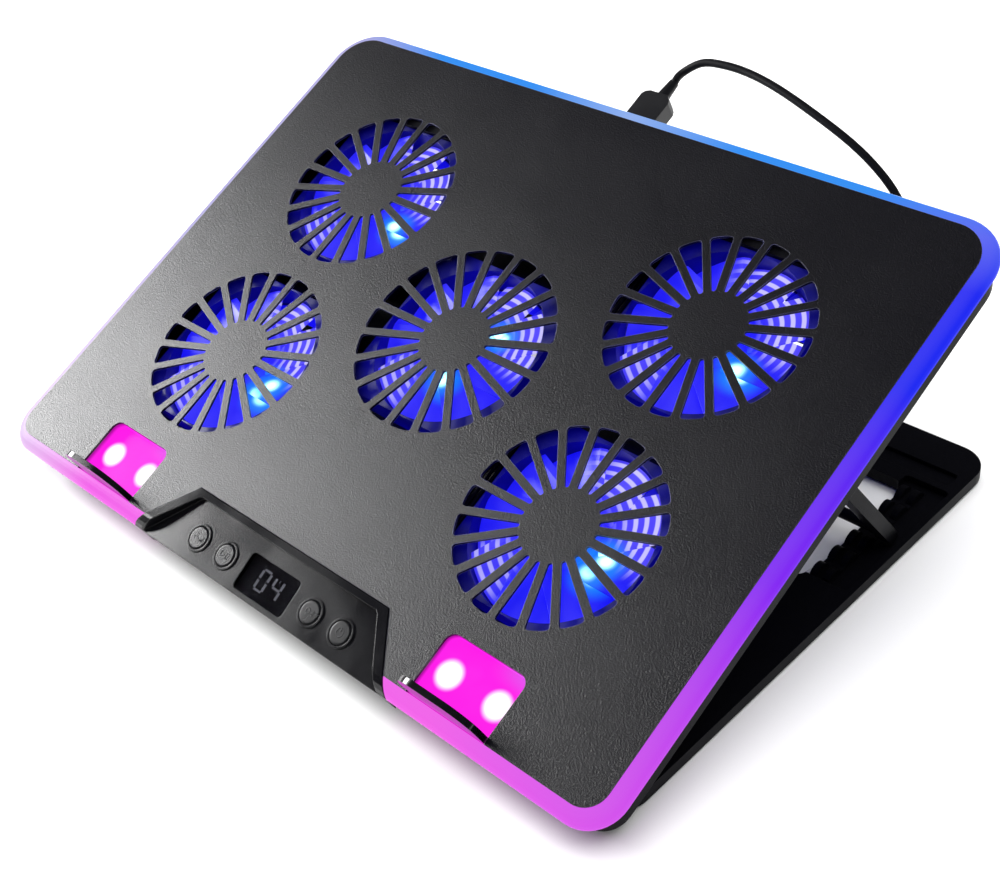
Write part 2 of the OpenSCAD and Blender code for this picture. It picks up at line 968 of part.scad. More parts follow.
// Three turns: two side by side on the table and one lying on them
module cord_coil() {
    color("black")
    on_base()
    translate(coil_at)
    rotate_extrude()
    for (p = [[-cord_r, 0], [cord_r, 0], [0, 1.75 * cord_r]])
        translate([coil_mid + p[0], cord_r + p[1]])
        circle(cord_r);
}

// Short free end from the top turn to the second plug
module cord_tail() {
    color("black")
    tube(smooth([for (p = tail_route) p + [0, y_shift, 0]]), cord_r);
}

module cord_tie() {
    color("gray")
    on_base()
    translate([coil_at[0] - coil_mid, coil_at[1], 0])
    rotate([90, 0, 0])
    translate([0, 0, -3])
    linear_extrude(6)
    difference() {
        round_box(-4.7, 0, 4.7, 8.2, 1.5);
        round_box(-3.9, 0.8, 3.9, 7.4, 1);
    }
}

module end_plug_body() {
    color("black")
    on_base()
    translate(tail_route[len(tail_route) - 1])
    rotate([0, -90, 0]) {
        // Tapered sleeve, then the grip
        cylinder(r1 = 2.3, r2 = 3.1, h = 10);
        translate([0, 0, 9])
        linear_extrude(20)
        round_box(-4, -8.3, 4, 8.3, 1.5);
    }
}

module end_plug_shell() {
    color("silver")
    on_base()
    translate(tail_route[len(tail_route) - 1])
    difference() {
        span([-41, -5.9, -2.2], [-29, 5.9, 2.2]);
        span([-42, -5.5, 0.2], [-30, 5.5, 1.8]);
    }
}

base_frame();
rack_left();
rack_right();
rubber_feet();
hinge_pins();
lower_shell();
top_panel();
light_ring();
ring_led_strips();
case_screws();
led_window_left();
led_window_right();
window_led_boards();
stop_pins();
stop_left();
stop_right();
console_bezel();
display_window();
display_digits();
display_module();
control_board();
console_screws();
tact_switches();
button(0);  // button_1
button(1);  // button_2
button(2);  // button_3
button(3);  // button_4
fan_frame(0);  // fan_frame_1
fan_frame(1);  // fan_frame_2
fan_frame(2);  // fan_frame_3
fan_frame(3);  // fan_frame_4
fan_frame(4);  // fan_frame_5
rotor(0);  // rotor_1
rotor(1);  // rotor_2
rotor(2);  // rotor_3
rotor(3);  // rotor_4
rotor(4);  // rotor_5
fan_leds();
fan_screws();
wire_loom();
usb_sockets();
usb_board();
prop_frame();
prop_pins();
usb_plug_body();
usb_plug_shell();
strain_relief();
power_cord();
cord_coil();
cord_tail();
cord_tie();
end_plug_body();
end_plug_shell();
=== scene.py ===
import json
import math

import bmesh
import bpy
from mathutils import Matrix, Vector


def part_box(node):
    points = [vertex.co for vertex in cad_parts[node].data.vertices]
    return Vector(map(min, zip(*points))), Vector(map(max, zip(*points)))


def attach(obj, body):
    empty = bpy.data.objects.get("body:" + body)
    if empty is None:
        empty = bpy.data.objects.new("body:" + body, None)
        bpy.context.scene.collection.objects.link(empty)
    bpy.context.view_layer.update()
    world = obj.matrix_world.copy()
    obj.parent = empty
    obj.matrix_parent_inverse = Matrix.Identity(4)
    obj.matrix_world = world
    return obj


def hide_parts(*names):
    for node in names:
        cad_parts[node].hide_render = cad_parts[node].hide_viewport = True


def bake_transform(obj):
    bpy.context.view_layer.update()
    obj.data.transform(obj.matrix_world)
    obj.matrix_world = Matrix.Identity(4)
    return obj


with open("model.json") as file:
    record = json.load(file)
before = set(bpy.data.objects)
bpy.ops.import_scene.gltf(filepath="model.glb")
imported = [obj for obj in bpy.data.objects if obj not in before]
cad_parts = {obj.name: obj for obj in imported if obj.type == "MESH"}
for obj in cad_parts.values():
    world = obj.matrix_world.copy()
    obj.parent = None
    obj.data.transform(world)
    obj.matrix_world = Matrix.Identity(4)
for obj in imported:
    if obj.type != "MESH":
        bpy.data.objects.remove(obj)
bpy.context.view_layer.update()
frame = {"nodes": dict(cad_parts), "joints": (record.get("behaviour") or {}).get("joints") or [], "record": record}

nodes = frame["nodes"]
MM = 0.001

# ---------------------------------------------------------------- places

JOINTS = {joint["name"]: joint for joint in frame["joints"]}
MOUNTS = {mount["name"]: mount for mount in frame["record"]["mounts"]}

# The deck turns about its front hinge, which lies 8 mm behind the panel's front edge
HINGE = Vector(JOINTS["deck_tilt"]["pos_m"])
HINGE_BACK = 0.008
DECK_NORMAL = Vector(MOUNTS["laptop_rest"]["axis"]).normalized()
TILT = math.atan2(-DECK_NORMAL.y, DECK_NORMAL.z)
TILTED = Matrix.Rotation(TILT, 4, "X")


def table_place(x, y, z):
    """A point near the base: x from the middle, y behind the shut panel's front edge, z above the table."""
    return Vector((x, y - HINGE_BACK + HINGE.y, z))


def deck_place(x, y, z):
    """A point of the deck, named by where it lies when the pad is shut."""
    return HINGE + TILTED @ Vector((x, y - HINGE_BACK, z - HINGE.z))


def middle(node):
    low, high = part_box(node)
    return (Vector(low) + Vector(high)) / 2


def shut_place(point):
    """Where a point of the deck lies when the pad is shut: the inverse of deck_place."""
    return TILTED.inverted() @ (Vector(point) - HINGE) + Vector((0, HINGE_BACK, HINGE.z))


FANS = [shut_place(middle(f"rotor_{i}")) for i in range(1, 6)]


# ---------------------------------------------------------------- camera

CAMERA_AT = (0.4157, HINGE.y - 0.2433, 0.4323)
CAMERA_AZIMUTH = math.radians(48.33)
CAMERA_ELEVATION = math.radians(37.15)
CAMERA_LEAN = math.radians(7.07)
CAMERA_LENS = 54.98


def add_camera():
    """A normal lens above the pad's front right corner, leaning a little to the right."""
    level = Vector((math.cos(CAMERA_AZIMUTH), math.sin(CAMERA_AZIMUTH), 0))
    ahead = Vector((-level.y, level.x, 0))
    forward = ahead * math.cos(CAMERA_ELEVATION) - Vector((0, 0, math.sin(CAMERA_ELEVATION)))
    above = level.cross(forward)
    right = level * math.cos(CAMERA_LEAN) - above * math.sin(CAMERA_LEAN)
    up = level * math.sin(CAMERA_LEAN) + above * math.cos(CAMERA_LEAN)
    data = bpy.data.cameras.new("camera")
    data.lens = CAMERA_LENS
    data.sensor_width = 36
    data.sensor_fit = "HORIZONTAL"
    camera = bpy.data.objects.new("camera", data)
    turn = Matrix((right, up, -forward)).transposed().to_4x4()
    camera.matrix_world = Matrix.Translation(CAMERA_AT) @ turn
    bpy.context.scene.collection.objects.link(camera)
    bpy.context.scene.camera = camera


# ---------------------------------------------------------------- mesh helpers

def add_mesh(name, vertices, faces, smooth=True):
    mesh = bpy.data.meshes.new(name)
    mesh.from_pydata([tuple(v) for v in vertices], [], faces)
    mesh.update()
    for polygon in mesh.polygons:
        polygon.use_smooth = smooth
    piece = bpy.data.objects.new(name, mesh)
    bpy.context.scene.collection.objects.link(piece)
    return piece


def loops_to_mesh(name, loops, smooth=True):
    """Skins a closed solid through loops of equal length, with a cap at each end."""
    count = len(loops[0])
    vertices = [point for loop in loops for point in loop]
    faces = [tuple(range(count))[::-1]]
    for i in range(len(loops) - 1):
        for k in range(count):
            m = (k + 1) % count
            faces.append((i * count + k, i * count + m, (i + 1) * count + m, (i + 1) * count + k))
    faces.append(tuple((len(loops) - 1) * count + k for k in range(count)))
    piece = add_mesh(name, vertices, faces, smooth)
    mesh = bmesh.new()
    mesh.from_mesh(piece.data)
    bmesh.ops.recalc_face_normals(mesh, faces=mesh.faces)
    mesh.to_mesh(piece.data)
    mesh.free()
    return piece


def sweep(name, path, radius, sides=16):
    """Round tube along a path, with rings that turn as little as they can."""
    path = [Vector(p) for p in path]
    loops = []
    side = None
    for i, point in enumerate(path):
        along = (path[min(i + 1, len(path) - 1)] - path[max(i - 1, 0)]).normalized()
        if side is None:
            side = along.cross(Vector((0, 0, 1)))
        side = (side - along * side.dot(along)).normalized()
        up = side.cross(along)
        ring = [2 * math.pi * k / sides for k in range(sides)]
        loops.append([point + radius * (math.cos(a) * side + math.sin(a) * up) for a in ring])
    return loops_to_mesh(name, loops)


def smooth_path(points, steps):
    """Catmull-Rom curve through the points."""
    points = [Vector(p) for p in points]
    out = []
    for i in range(len(points) - 1):
        a, b = points[max(i - 1, 0)], points[i]
        c, d = points[i + 1], points[min(i + 2, len(points) - 1)]
        for k in range(steps):
            t = k / steps
            out.append(0.5 * (2 * b + (c - a) * t + (2 * a - 5 * b + 4 * c - d) * t * t
                              + (3 * b - a - 3 * c + d) * t * t * t))
    return out + [points[-1]]


def join(name, pieces):
    """One mesh out of several."""
    mesh = bmesh.new()
    for piece in pieces:
        mesh.from_mesh(piece.data)
        bpy.data.objects.remove(piece)
    data = bpy.data.meshes.new(name)
    mesh.to_mesh(data)
    mesh.free()
    for polygon in data.polygons:
        polygon.use_smooth = True
    whole = bpy.data.objects.new(name, data)
    bpy.context.scene.collection.objects.link(whole)
    return whole

# ---------------------------------------------------------------- material helpers

def linear(red, green, blue):
    """A screen colour, 0 to 255, as linear light."""
    return tuple((v / 255) ** 2.2 for v in (red, green, blue)) + (1,)


class Look:
    """One material and the nodes that drive its main shader."""

    def __init__(self, name, color=(0.02, 0.02, 0.02), roughness=0.5, **sockets):
        self.material = bpy.data.materials.new(name)
        self.material.use_nodes = True
        self.tree = self.material.node_tree
        self.shader = self.tree.nodes["Principled BSDF"]
        self.shader.inputs["Base Color"].default_value = tuple(color)[:3] + (1,)
        self.shader.inputs["Roughness"].default_value = roughness
        for socket, value in sockets.items():
            self.shader.inputs[socket.replace("_", " ")].default_value = value
        self.normal = None

    def add(self, kind, **settings):
        node = self.tree.nodes.new(kind)
        for key, value in settings.items():
            setattr(node, key, value)
        return node

    def feed(self, socket, source):
        if isinstance(source, (int, float, tuple)):
            socket.default_value = source
        else:
            self.tree.links.new(source, socket)

    def math(self, operation, a, b=0.0):
        node = self.add("ShaderNodeMath", operation=operation)
        self.feed(node.inputs[0], a)
        self.feed(node.inputs[1], b)
        return node.outputs[0]

    def place(self):
        """Where the surface lies, fixed to its own body."""
        return self.add("ShaderNodeTexCoord").outputs["Object"]

    def deck_place(self):
        """The same in the deck's own lie: y behind the panel's front edge, z above the table when shut."""
        node = self.add("ShaderNodeMapping")
        self.feed(node.inputs["Vector"], self.place())
        back = TILTED.inverted()
        node.inputs["Rotation"].default_value = back.to_euler()
        node.inputs["Location"].default_value = Vector((0, HINGE_BACK, HINGE.z)) - back @ HINGE
        return node.outputs["Vector"]

    def noise(self, scale, detail=3.0, roughness=0.5, where=None):
        node = self.add("ShaderNodeTexNoise")
        node.inputs["Scale"].default_value = scale
        node.inputs["Detail"].default_value = detail
        node.inputs["Roughness"].default_value = roughness
        self.feed(node.inputs["Vector"], where or self.place())
        return node.outputs["Fac"]

    def span(self, value, low, high, out_low=0.0, out_high=1.0, smooth=True):
        node = self.add("ShaderNodeMapRange", interpolation_type="SMOOTHSTEP" if smooth else "LINEAR")
        self.feed(node.inputs["Value"], value)
        for name, number in (("From Min", low), ("From Max", high), ("To Min", out_low), ("To Max", out_high)):
            node.inputs[name].default_value = number
        return node.outputs["Result"]

    def mix(self, factor, a, b):
        node = self.add("ShaderNodeMix", data_type="RGBA")
        self.feed(node.inputs["Factor"], factor)
        self.feed(node.inputs[6], a)
        self.feed(node.inputs[7], b)
        return node.outputs[2]

    def ramp(self, factor, stops):
        node = self.add("ShaderNodeValToRGB")
        while len(node.color_ramp.elements) < len(stops):
            node.color_ramp.elements.new(0.5)
        for element, (position, color) in zip(node.color_ramp.elements, sorted(stops)):
            element.position = position
            element.color = color
        self.feed(node.inputs["Fac"], factor)
        return node.outputs["Color"]

    def soften_edges(self, radius):
        """Rounds the shading of sharp edges, so that they catch the light as moulded or coated edges do."""
        node = self.add("ShaderNodeBevel", samples=4)
        node.inputs["Radius"].default_value = radius
        self.normal = node.outputs["Normal"]
        self.feed(self.shader.inputs["Normal"], self.normal)
        return self

    def lit_edge_mask(self, radius, low=0.02, high=0.25):
        """How far a rounded edge's shading strays from the flat face beside it, 0 to 1; the mask for the panel's
        painted edge highlights.
        """
        round_node = self.add("ShaderNodeBevel", samples=6)
        round_node.inputs["Radius"].default_value = radius
        flat = self.add("ShaderNodeNewGeometry").outputs["True Normal"]
        match = self.add("ShaderNodeVectorMath", operation="DOT_PRODUCT")
        self.feed(match.inputs[0], round_node.outputs["Normal"])
        self.feed(match.inputs[1], flat)
        return self.span(match.outputs["Value"], 1 - high, 1 - low, 1.0, 0.0)

    def fan_offset(self, centres):
        """Distance from the axis of the nearest fan, in the deck's own lie, and the height there."""
        where = self.deck_place()
        nearest = None
        for centre in centres:
            offset = self.add("ShaderNodeVectorMath", operation="SUBTRACT")
            self.feed(offset.inputs[0], where)
            offset.inputs[1].default_value = centre
            level = self.add("ShaderNodeVectorMath", operation="MULTIPLY")
            self.feed(level.inputs[0], offset.outputs[0])
            level.inputs[1].default_value = (1, 1, 0)
            size = self.add("ShaderNodeVectorMath", operation="LENGTH")
            self.feed(size.inputs[0], level.outputs[0])
            out = size.outputs["Value"]
            nearest = out if nearest is None else self.math("MINIMUM", nearest, out)
        split = self.add("ShaderNodeSeparateXYZ")
        self.feed(split.inputs[0], where)
        return nearest, split.outputs["Z"]

    def bump(self, height, depth):
        node = self.add("ShaderNodeBump")
        node.inputs["Strength"].default_value = 1.0
        node.inputs["Distance"].default_value = depth
        self.feed(node.inputs["Height"], height)
        if self.normal is not None:
            self.feed(node.inputs["Normal"], self.normal)
        self.normal = node.outputs["Normal"]
        self.feed(self.shader.inputs["Normal"], self.normal)
        return self

    def color(self, source):
        self.feed(self.shader.inputs["Base Color"], source)
        return self

    def rough(self, source):
        self.feed(self.shader.inputs["Roughness"], source)
        return self

    def glow(self, source, strength):
        self.feed(self.shader.inputs["Emission Color"], source)
        self.feed(self.shader.inputs["Emission Strength"], strength)
        return self

    def dress(self, *names):
        """Puts the material on nodes or pieces."""
        for name in names:
            piece = nodes[name] if isinstance(name, str) else name
            if not piece.data.materials:
                piece.data.materials.append(self.material)
            for i in range(len(piece.data.materials)):
                piece.data.materials[i] = self.material
        return self


def moulded(name, color, roughness, grain=0.0006, depth=0.00004, edge=0.0004, **sockets):
    """Moulded plastic or rubber: a fine spark-eroded grain, uneven sheen and softly rounded edges."""
    look = Look(name, color, roughness, **sockets)
    if edge:
        look.soften_edges(edge)
    fine = look.noise(1 / grain, 4)
    broad = look.noise(30, 3)
    look.bump(fine, depth)
    look.rough(look.span(broad, 0.3, 0.7, roughness - 0.05, roughness + 0.07))
    darker = tuple(v * 0.75 for v in color[:3]) + (1,)
    lighter = tuple(v * 1.3 for v in color[:3]) + (1,)
    look.color(look.mix(look.span(fine, 0.35, 0.65), darker, lighter))
    return look


# ---------------------------------------------------------------- power lead

# The lead's route from the end of the plug's sleeve over the deck's edge and down to the table, in metres
CORD_RADIUS = 0.00185
SLEEVE_END = deck_place(-0.0035, 0.2974, 0.0143)
ROUTE = [(0.004, 0.281, 0.139), (0.014, 0.283, 0.140), (0.028, 0.284, 0.139), (0.045, 0.283, 0.136),
         (0.066, 0.281, 0.130), (0.086, 0.280, 0.122), (0.100, 0.280, 0.113), (0.110, 0.280, 0.103),
         (0.117, 0.281, 0.088), (0.119, 0.283, 0.068), (0.117, 0.287, 0.047), (0.111, 0.294, 0.027),
         (0.101, 0.304, 0.011), (0.088, 0.314, 0.004), (0.074, 0.323, 0.002), (0.058, 0.330, 0.0019),
         (0.044, 0.334, 0.0019), (0.031, 0.3354, 0.0019)]
# Where the coil lies on the table, its middle radius, and how finely its turns are drawn
COIL_AT = (0.030, 0.312)
COIL_MIDDLE = 0.0215
COIL_STEPS = 24
# The coil passes from one turn to the next over the last part of each
COIL_PASSING = 0.2
TAIL = [(0.022, 0.3339, 0.0056), (0.014, 0.3342, 0.0052), (0.006, 0.3342, 0.0044), (-0.004, 0.334, 0.004)]


def coil_points():
    """Three turns: one outside and one inside on the table, and the last lying on them."""
    turns = [(COIL_MIDDLE + CORD_RADIUS, CORD_RADIUS), (COIL_MIDDLE - CORD_RADIUS, CORD_RADIUS),
             (COIL_MIDDLE, 2.75 * CORD_RADIUS)]
    last = len(turns) - 1
    points = []
    for i in range(1, len(turns) * COIL_STEPS + 1):
        turn = min(i // COIL_STEPS, last)
        ease = max(0.0, (i / COIL_STEPS - turn - 1) / COIL_PASSING + 1)
        ease = ease * ease * (3 - 2 * ease)
        (radius, height), (next_radius, next_height) = turns[turn], turns[min(turn + 1, last)]
        radius += (next_radius - radius) * ease
        height += (next_height - height) * ease
        angle = math.radians(90 + 360 * i / COIL_STEPS)
        points.append((COIL_AT[0] + radius * math.cos(angle), COIL_AT[1] + radius * math.sin(angle), height))
    return points


def add_lead():
    """The lead from the plug's sleeve over the deck's edge to its coil and tail on the table, in place of the
    model's own lead pieces.
    """
    along = TILTED @ Vector((0, 1, 0))
    start = [SLEEVE_END, SLEEVE_END + 0.006 * along]
    path = smooth_path(start + [table_place(*p) for p in ROUTE + coil_points() + TAIL], 4)
    lead = sweep("lead", path, CORD_RADIUS)
    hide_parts("power_cord", "cord_coil", "cord_tail")
    # Straight down, so that the coil and all else near the table stay with the base
    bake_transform(lead)
    return lead


# ---------------------------------------------------------------- button symbols

# The console's face, in mm: how far its origin lies behind the panel's front edge and above the table when shut
FACE_BACK = 4.5
FACE_HEIGHT = 23.5
FACE_LEAN = math.radians(8)
# The buttons' tops above the face, their places along it, and the radius of the raised strokes
BUTTON_TOP = 0.9
BUTTONS_X = (-45.8, -27.5, 27.5, 45.8)
BUTTONS_Y = 0.2
STROKE_RADIUS = 0.17


def face_place(x, y, z):
    """A point of the console's face, given in mm in the face's own plane."""
    up, over = math.sin(FACE_LEAN), math.cos(FACE_LEAN)
    return deck_place(x * MM, (FACE_BACK + y * over - z * up) * MM, (FACE_HEIGHT + y * up + z * over) * MM)


def arc(cx, cy, r, start, end, steps=14):
    """Points along an arc, from one angle in degrees to another."""
    angles = [math.radians(start + (end - start) * k / steps) for k in range(steps + 1)]
    return [(cx + r * math.cos(a), cy + r * math.sin(a)) for a in angles]


def add_button_marks():
    """Raised strokes on the buttons, left to right: fan speed, play and pause, lamp pattern, and power."""
    fan_x = -1.1
    hub = [arc(fan_x, 0, 0.45, 0, 360)]
    blades = [arc(fan_x + math.cos(math.radians(a)), math.sin(math.radians(a)), 0.62, a - 100, a + 100)
              for a in (90, 210, 330)]
    bars = [[(1.5 + 0.75 * k, -1.5), (1.5 + 0.75 * k, -0.3 + 0.8 * k)] for k in range(3)]
    triangle = [[(-2.4, -1.3), (-0.2, 0), (-2.4, 1.3), (-2.4, -1.3)]]
    rails = [[(0.9, -1.4), (0.9, 1.4)], [(2.1, -1.4), (2.1, 1.4)]]
    lamp = [arc(-1.1, 0.4, 1.1, -50, 230), [(-1.7, -0.9), (-0.5, -0.9)], [(-1.5, -1.5), (-0.7, -1.5)]]
    waves = [arc(0.6, 0.2, 0.9 + 0.7 * k, -45, 45) for k in range(2)]
    power = [arc(0, 0, 1.8, 125, 415), [(0, 0.4), (0, 2.2)]]
    symbols = (hub + blades + bars, triangle + rails, lamp + waves, power)
    marks = []
    for number, (button_x, strokes) in enumerate(zip(BUTTONS_X, symbols), start=1):
        parts = []
        for stroke in strokes:
            path = [face_place(button_x + x, BUTTONS_Y + y, BUTTON_TOP) for x, y in stroke]
            parts.append(sweep(f"stroke_{number}_{len(parts)}", path, STROKE_RADIUS * MM, sides=8))
        mark = join(f"button_mark_{number}", parts)
        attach(mark, f"push_button_{number}")
        marks.append(mark)
    return marks


# ---------------------------------------------------------------- stage

FLOOR_REACH = 1.0
SURROUND_SEEN = 1.0
SURROUND_LIGHT = 0.07
# Each light's name, place, size, power, and whether glossy surfaces show it
LIGHTS = [("key", (-1.27, -0.40, 0.57), (0.75, 0.5), 33, True),
          ("overhead", (0.1, 0.1, 2.1), (2.8, 2.8), 98, False),
          ("back_fill", (0.9, 1.3, 1.0), (1.2, 0.8), 8, False)]
LIGHTS_AIM = Vector((0, 0, 0.05))


def add_stage():
    """A pale floor, a white surround, a soft key from the front left and an even light from above."""
    corners = [(-1, -1), (1, -1), (1, 1), (-1, 1)]
    floor = add_mesh("floor", [(x * FLOOR_REACH, y * FLOOR_REACH, 0) for x, y in corners], [(0, 1, 2, 3)],
                     smooth=False)
    look = Look("floor_paper", (0.86, 0.86, 0.86), 0.9)
    look.color(look.mix(look.noise(6, 2), (0.85, 0.85, 0.85, 1), (0.88, 0.88, 0.88, 1)))
    look.dress(floor)

    world = bpy.data.worlds.new("surround")
    world.use_nodes = True
    bpy.context.scene.world = world
    tree = world.node_tree
    seen = tree.nodes.new("ShaderNodeLightPath").outputs["Is Camera Ray"]
    strength = tree.nodes.new("ShaderNodeMapRange")
    strength.inputs["To Min"].default_value = SURROUND_LIGHT
    strength.inputs["To Max"].default_value = SURROUND_SEEN
    tree.links.new(seen, strength.inputs["Value"])
    tree.nodes["Background"].inputs["Color"].default_value = (1, 1, 1, 1)
    tree.links.new(strength.outputs["Result"], tree.nodes["Background"].inputs["Strength"])

    for name, place, size, power, glossy in LIGHTS:
        data = bpy.data.lights.new(name, "AREA")
        data.shape = "RECTANGLE"
        data.size, data.size_y = size
        data.energy = power
        light = bpy.data.objects.new(name, data)
        light.location = place
        light.rotation_euler = (LIGHTS_AIM - Vector(place)).to_track_quat("-Z", "Y").to_euler()
        light.visible_glossy = glossy
        bpy.context.scene.collection.objects.link(light)
    bpy.context.scene.view_settings.view_transform = "Standard"


# ---------------------------------------------------------------- materials

BLACK = (0, 0, 0, 1)
COAT_GRAIN = 1 / 1500
COAT_DEPTH = 0.00022
# The outer radius of a fan's slots in the panel, and of its bore in the housing, each as a short fade
SLOT_RIM = (0.046, 0.050)
BORE_RIM = (0.0375, 0.0388)
# The deck's half width and half depth over the edge light, and how far back its middle lies
DECK_HALF_X = 0.1875
DECK_HALF_Y = 0.1375
DECK_MIDDLE_Y = 0.1315
# The pockets' middles either side of the deck's middle, and their lamps either side of each pocket's middle
POCKET_X = 0.1097
POCKET_LAMP_X = 0.0124


def panel_look():
    """Charcoal powder coat on sheet metal, with a fine leathery grain, painted highlights on its edges and a
    painted blue glow on the slots' edges near the fans.
    """
    look = Look("panel_coat", (0.005, 0.005, 0.007), 0.3)
    edges = look.lit_edge_mask(0.00045)
    look.soften_edges(0.0003)
    grain = look.noise(1 / COAT_GRAIN, 4, 0.6)
    look.bump(grain, COAT_DEPTH)
    coat = look.mix(look.span(grain, 0.35, 0.65), (0.001, 0.001, 0.0018, 1), (0.003, 0.0027, 0.0048, 1))
    # Painted highlight: the rounded edges lightened towards a pale blue-grey, as if they caught the light.
    look.color(look.mix(look.math("MULTIPLY", edges, 0.35), coat, (0.2, 0.2, 0.3, 1)))
    look.rough(look.span(look.noise(22, 3), 0.3, 0.7, 0.33, 0.38))
    # Painted light: the cut edges of the slots near the fans glow with the fans' blue, in broken patches.
    out, _ = look.fan_offset(FANS)
    near = look.math("MULTIPLY", look.span(out, *SLOT_RIM, 1.0, 0.0), edges)
    near = look.math("MULTIPLY", near, look.span(look.noise(120, 2), 0.42, 0.62, 0.15, 1.0))
    look.glow(look.mix(near, BLACK, linear(130, 130, 230)), look.math("MULTIPLY", near, 0.4))
    return look


def ring_look():
    """Light diffuser: its colour runs round the deck, from magenta through violet and blue to lavender."""
    look = Look("ring_diffuser", (0.003, 0.003, 0.005), 0.3, IOR=1.12)
    look.soften_edges(0.0006)
    split = look.add("ShaderNodeSeparateXYZ")
    look.feed(split.inputs[0], look.deck_place())
    across = look.math("DIVIDE", split.outputs["X"], DECK_HALF_X)
    back = look.math("DIVIDE", look.math("SUBTRACT", split.outputs["Y"], DECK_MIDDLE_Y), DECK_HALF_Y)
    turn = look.math("ARCTAN2", back, across)
    part = look.math("ADD", look.math("DIVIDE", turn, 2 * math.pi), 0.5)
    magenta, violet, blue = linear(250, 100, 240), linear(135, 45, 250), linear(35, 45, 250)
    azure, pale_blue, lavender = linear(35, 145, 250), linear(145, 180, 245), linear(185, 180, 230)
    corner_pink, corner_blue = linear(235, 210, 250), linear(90, 105, 250)
    # Degrees anticlockwise from the middle of the left side; the corners lie at 45, 135, 225 and 315
    stops = [(0, lavender), (45, corner_pink), (57, magenta), (120, magenta), (168, violet), (204, blue),
             (218, blue), (225, corner_blue), (236, azure), (252, azure), (270, pale_blue), (288, azure),
             (304, azure), (316, lavender)]
    color = look.ramp(part, [(degrees / 360, shade) for degrees, shade in stops])
    look.color(look.mix(look.noise(500, 3), (0.002, 0.002, 0.004, 1), (0.004, 0.004, 0.008, 1)))
    look.rough(look.span(look.noise(60, 2), 0.3, 0.7, 0.26, 0.36))
    # A slightly paler band along the top, where the lamps lie deeper
    paler = look.span(split.outputs["Z"], 0.0245, 0.0272)
    look.glow(look.mix(look.math("MULTIPLY", paler, 0.04), color, linear(215, 190, 240)), 0.93)
    return look


def pocket_look(side):
    """Magenta tray with a white-hot spot over each of its two lamps."""
    look = Look("pocket_glow", (0.01, 0.002, 0.008), 0.3, IOR=1.12)
    where = look.deck_place()
    spots = None
    middle_x = side * POCKET_X
    for x in (middle_x - POCKET_LAMP_X, middle_x + POCKET_LAMP_X):
        away = look.add("ShaderNodeVectorMath", operation="DISTANCE")
        look.feed(away.inputs[0], where)
        away.inputs[1].default_value = (x, 0.0145, 0.0224)
        spot = look.span(away.outputs["Value"], 0.0040, 0.0072, 1.0, 0.0)
        spots = spot if spots is None else look.math("MAXIMUM", spots, spot)
    # The walls stand further from the lamps: violet at the back right, and darker towards the top
    split = look.add("ShaderNodeSeparateXYZ")
    look.feed(split.inputs[0], where)
    back = look.math("MULTIPLY", look.span(split.outputs["Y"], 0.020, 0.030),
                     look.span(split.outputs["X"], middle_x - 0.002, middle_x + 0.022))
    tray = look.mix(look.math("MULTIPLY", back, 0.8), linear(255, 34, 232), linear(196, 110, 240))
    tray = look.mix(look.span(look.noise(60, 2), 0.4, 0.8, 0.0, 0.3), tray, linear(255, 60, 245))
    walls = look.span(split.outputs["Z"], 0.0235, 0.0262)
    tray = look.mix(look.math("MULTIPLY", walls, 0.65), tray, linear(90, 10, 80))
    look.glow(look.mix(spots, tray, (1, 0.93, 1, 1)), look.span(spots, 0, 1, 1.0, 1.4, False))
    return look


